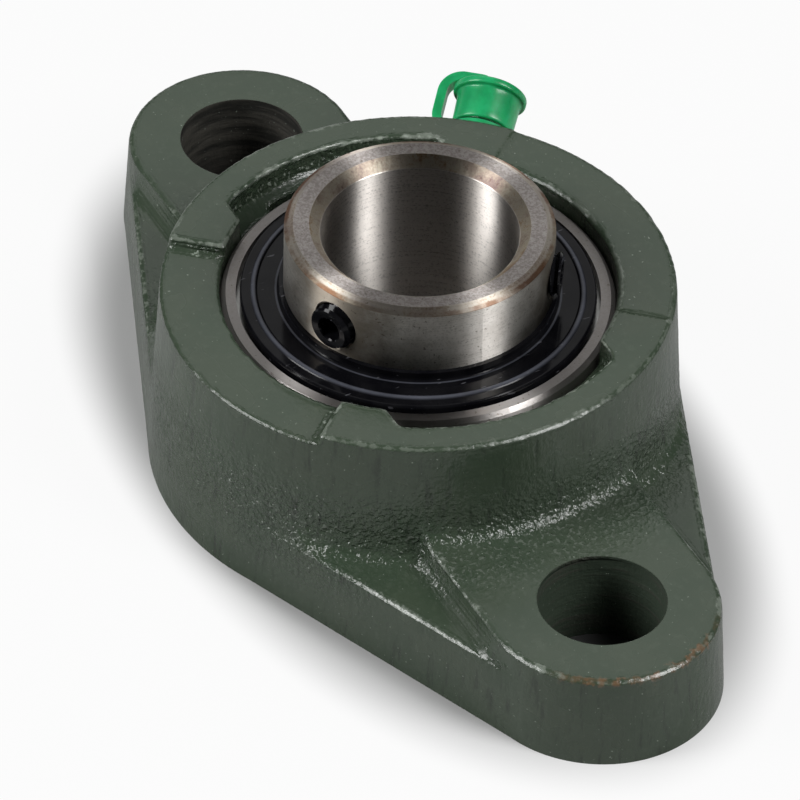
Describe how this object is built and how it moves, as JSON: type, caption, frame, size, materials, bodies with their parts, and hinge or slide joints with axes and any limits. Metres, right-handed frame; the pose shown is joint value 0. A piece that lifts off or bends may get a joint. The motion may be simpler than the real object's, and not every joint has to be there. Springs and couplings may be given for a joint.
{
  "type": "flange bearing",
  "caption": "Oval flange bearing unit: a cast housing bolts to a wall and holds a self-aligning ball bearing whose wide inner ring clamps a shaft with set screws.",
  "frame": {"origin": "on the shaft's axis at the mounting face, midway between the two bolt holes", "axes": "+Z along the shaft's axis out of the face of the boss, +X through one of the bolt holes"},
  "size_m": [0.13, 0.068, 0.0358],
  "materials": {
    "housing_enamel": "semi-gloss dark green enamel over rough cast iron",
    "ring_steel": "ground bearing steel with a warm heat tint",
    "ball_steel": "polished",
    "cage_steel": "pressed sheet steel",
    "black_steel": "glossy black oxide",
    "seal_rubber": "matt",
    "plated_steel": "bright zinc plate",
    "green_plastic": "soft translucent green plastic"
  },
  "bodies": {
    "housing": {"housing": "housing_enamel", "grease_nipple": "plated_steel", "nipple_spring": "ball_steel", "cap_strap": "green_plastic"},
    "outer_ring": {"outer_ring": "ring_steel", "front_seal_shield": "cage_steel", "front_seal_lip": "seal_rubber", "back_seal_shield": "cage_steel", "back_seal_lip": "seal_rubber"},
    "inner_ring": {"inner_ring": "ring_steel", "front_flinger": "black_steel", "back_flinger": "black_steel"},
    "cage": {"cage_front": "cage_steel", "cage_back": "cage_steel", "cage_rivets": "cage_steel"},
    "set_screw_1": {"set_screw_1": "black_steel"},
    "set_screw_2": {"set_screw_2": "black_steel"},
    "nipple_valve_ball": {"nipple_valve_ball": "ball_steel"},
    "nipple_cap": {"nipple_cap": "green_plastic"},
    "ball_1": {"ball_1": "ball_steel"},
    "ball_2": {"ball_2": "ball_steel"},
    "ball_3": {"ball_3": "ball_steel"},
    "ball_4": {"ball_4": "ball_steel"},
    "ball_5": {"ball_5": "ball_steel"},
    "ball_6": {"ball_6": "ball_steel"},
    "ball_7": {"ball_7": "ball_steel"},
    "ball_8": {"ball_8": "ball_steel"},
    "ball_9": {"ball_9": "ball_steel"}
  },
  "joints": [
    {"name": "bearing_tilt", "type": "hinge", "parent": "housing", "child": "outer_ring", "pos_m": [0, 0, 0.016], "axis": [0, 1, 0], "range_deg": [-2, 2]},
    {"name": "shaft_spin", "type": "hinge", "parent": "outer_ring", "child": "inner_ring", "pos_m": [0, 0, 0.016], "axis": [0, 0, 1], "continuous": true},
    {"name": "cage_spin", "type": "hinge", "parent": "outer_ring", "child": "cage", "pos_m": [0, 0, 0.016], "axis": [0, 0, 1], "continuous": true},
    {"name": "ball_1_spin", "type": "hinge", "parent": "cage", "child": "ball_1", "pos_m": [0.0195, 0, 0.016], "axis": [0, 0, 1], "continuous": true},
    {"name": "ball_2_spin", "type": "hinge", "parent": "cage", "child": "ball_2", "pos_m": [0.01494, 0.01253, 0.016], "axis": [0, 0, 1], "continuous": true},
    {"name": "ball_3_spin", "type": "hinge", "parent": "cage", "child": "ball_3", "pos_m": [0.00339, 0.0192, 0.016], "axis": [0, 0, 1], "continuous": true},
    {"name": "ball_4_spin", "type": "hinge", "parent": "cage", "child": "ball_4", "pos_m": [-0.00975, 0.01689, 0.016], "axis": [0, 0, 1], "continuous": true},
    {"name": "ball_5_spin", "type": "hinge", "parent": "cage", "child": "ball_5", "pos_m": [-0.01832, 0.00667, 0.016], "axis": [0, 0, 1], "continuous": true},
    {"name": "ball_6_spin", "type": "hinge", "parent": "cage", "child": "ball_6", "pos_m": [-0.01832, -0.00667, 0.016], "axis": [0, 0, 1], "continuous": true},
    {"name": "ball_7_spin", "type": "hinge", "parent": "cage", "child": "ball_7", "pos_m": [-0.00975, -0.01689, 0.016], "axis": [0, 0, 1], "continuous": true},
    {"name": "ball_8_spin", "type": "hinge", "parent": "cage", "child": "ball_8", "pos_m": [0.00339, -0.0192, 0.016], "axis": [0, 0, 1], "continuous": true},
    {"name": "ball_9_spin", "type": "hinge", "parent": "cage", "child": "ball_9", "pos_m": [0.01494, -0.01253, 0.016], "axis": [0, 0, 1], "continuous": true},
    {"name": "set_screw_1_travel", "type": "slide", "parent": "inner_ring", "child": "set_screw_1", "axis": [0.4067, -0.9135, 0], "range_m": [-0.0002, 0.0045]},
    {"name": "set_screw_2_travel", "type": "slide", "parent": "inner_ring", "child": "set_screw_2", "axis": [0.5878, 0.809, 0], "range_m": [-0.0002, 0.0045]},
    {"name": "valve_press", "type": "slide", "parent": "housing", "child": "nipple_valve_ball", "axis": [0.7029, -0.6046, -0.3746], "range_m": [0, 0.0006], "stiffness_N_per_m": 200, "springref_m": -0.001, "deforming": ["nipple_spring"]},
    {"name": "cap_pull", "type": "slide", "parent": "housing", "child": "nipple_cap", "axis": [-0.7029, 0.6046, 0.3746], "range_m": [0, 0.007], "deforming": ["cap_strap"]}
  ],
  "couplings": [
    {"joint": "cage_spin", "follows": "shaft_spin", "ratio": 0.39823},
    {"joint": "ball_1_spin", "follows": "shaft_spin", "ratio": -2.3548},
    {"joint": "ball_2_spin", "follows": "shaft_spin", "ratio": -2.3548},
    {"joint": "ball_3_spin", "follows": "shaft_spin", "ratio": -2.3548},
    {"joint": "ball_4_spin", "follows": "shaft_spin", "ratio": -2.3548},
    {"joint": "ball_5_spin", "follows": "shaft_spin", "ratio": -2.3548},
    {"joint": "ball_6_spin", "follows": "shaft_spin", "ratio": -2.3548},
    {"joint": "ball_7_spin", "follows": "shaft_spin", "ratio": -2.3548},
    {"joint": "ball_8_spin", "follows": "shaft_spin", "ratio": -2.3548},
    {"joint": "ball_9_spin", "follows": "shaft_spin", "ratio": -2.3548}
  ]
}
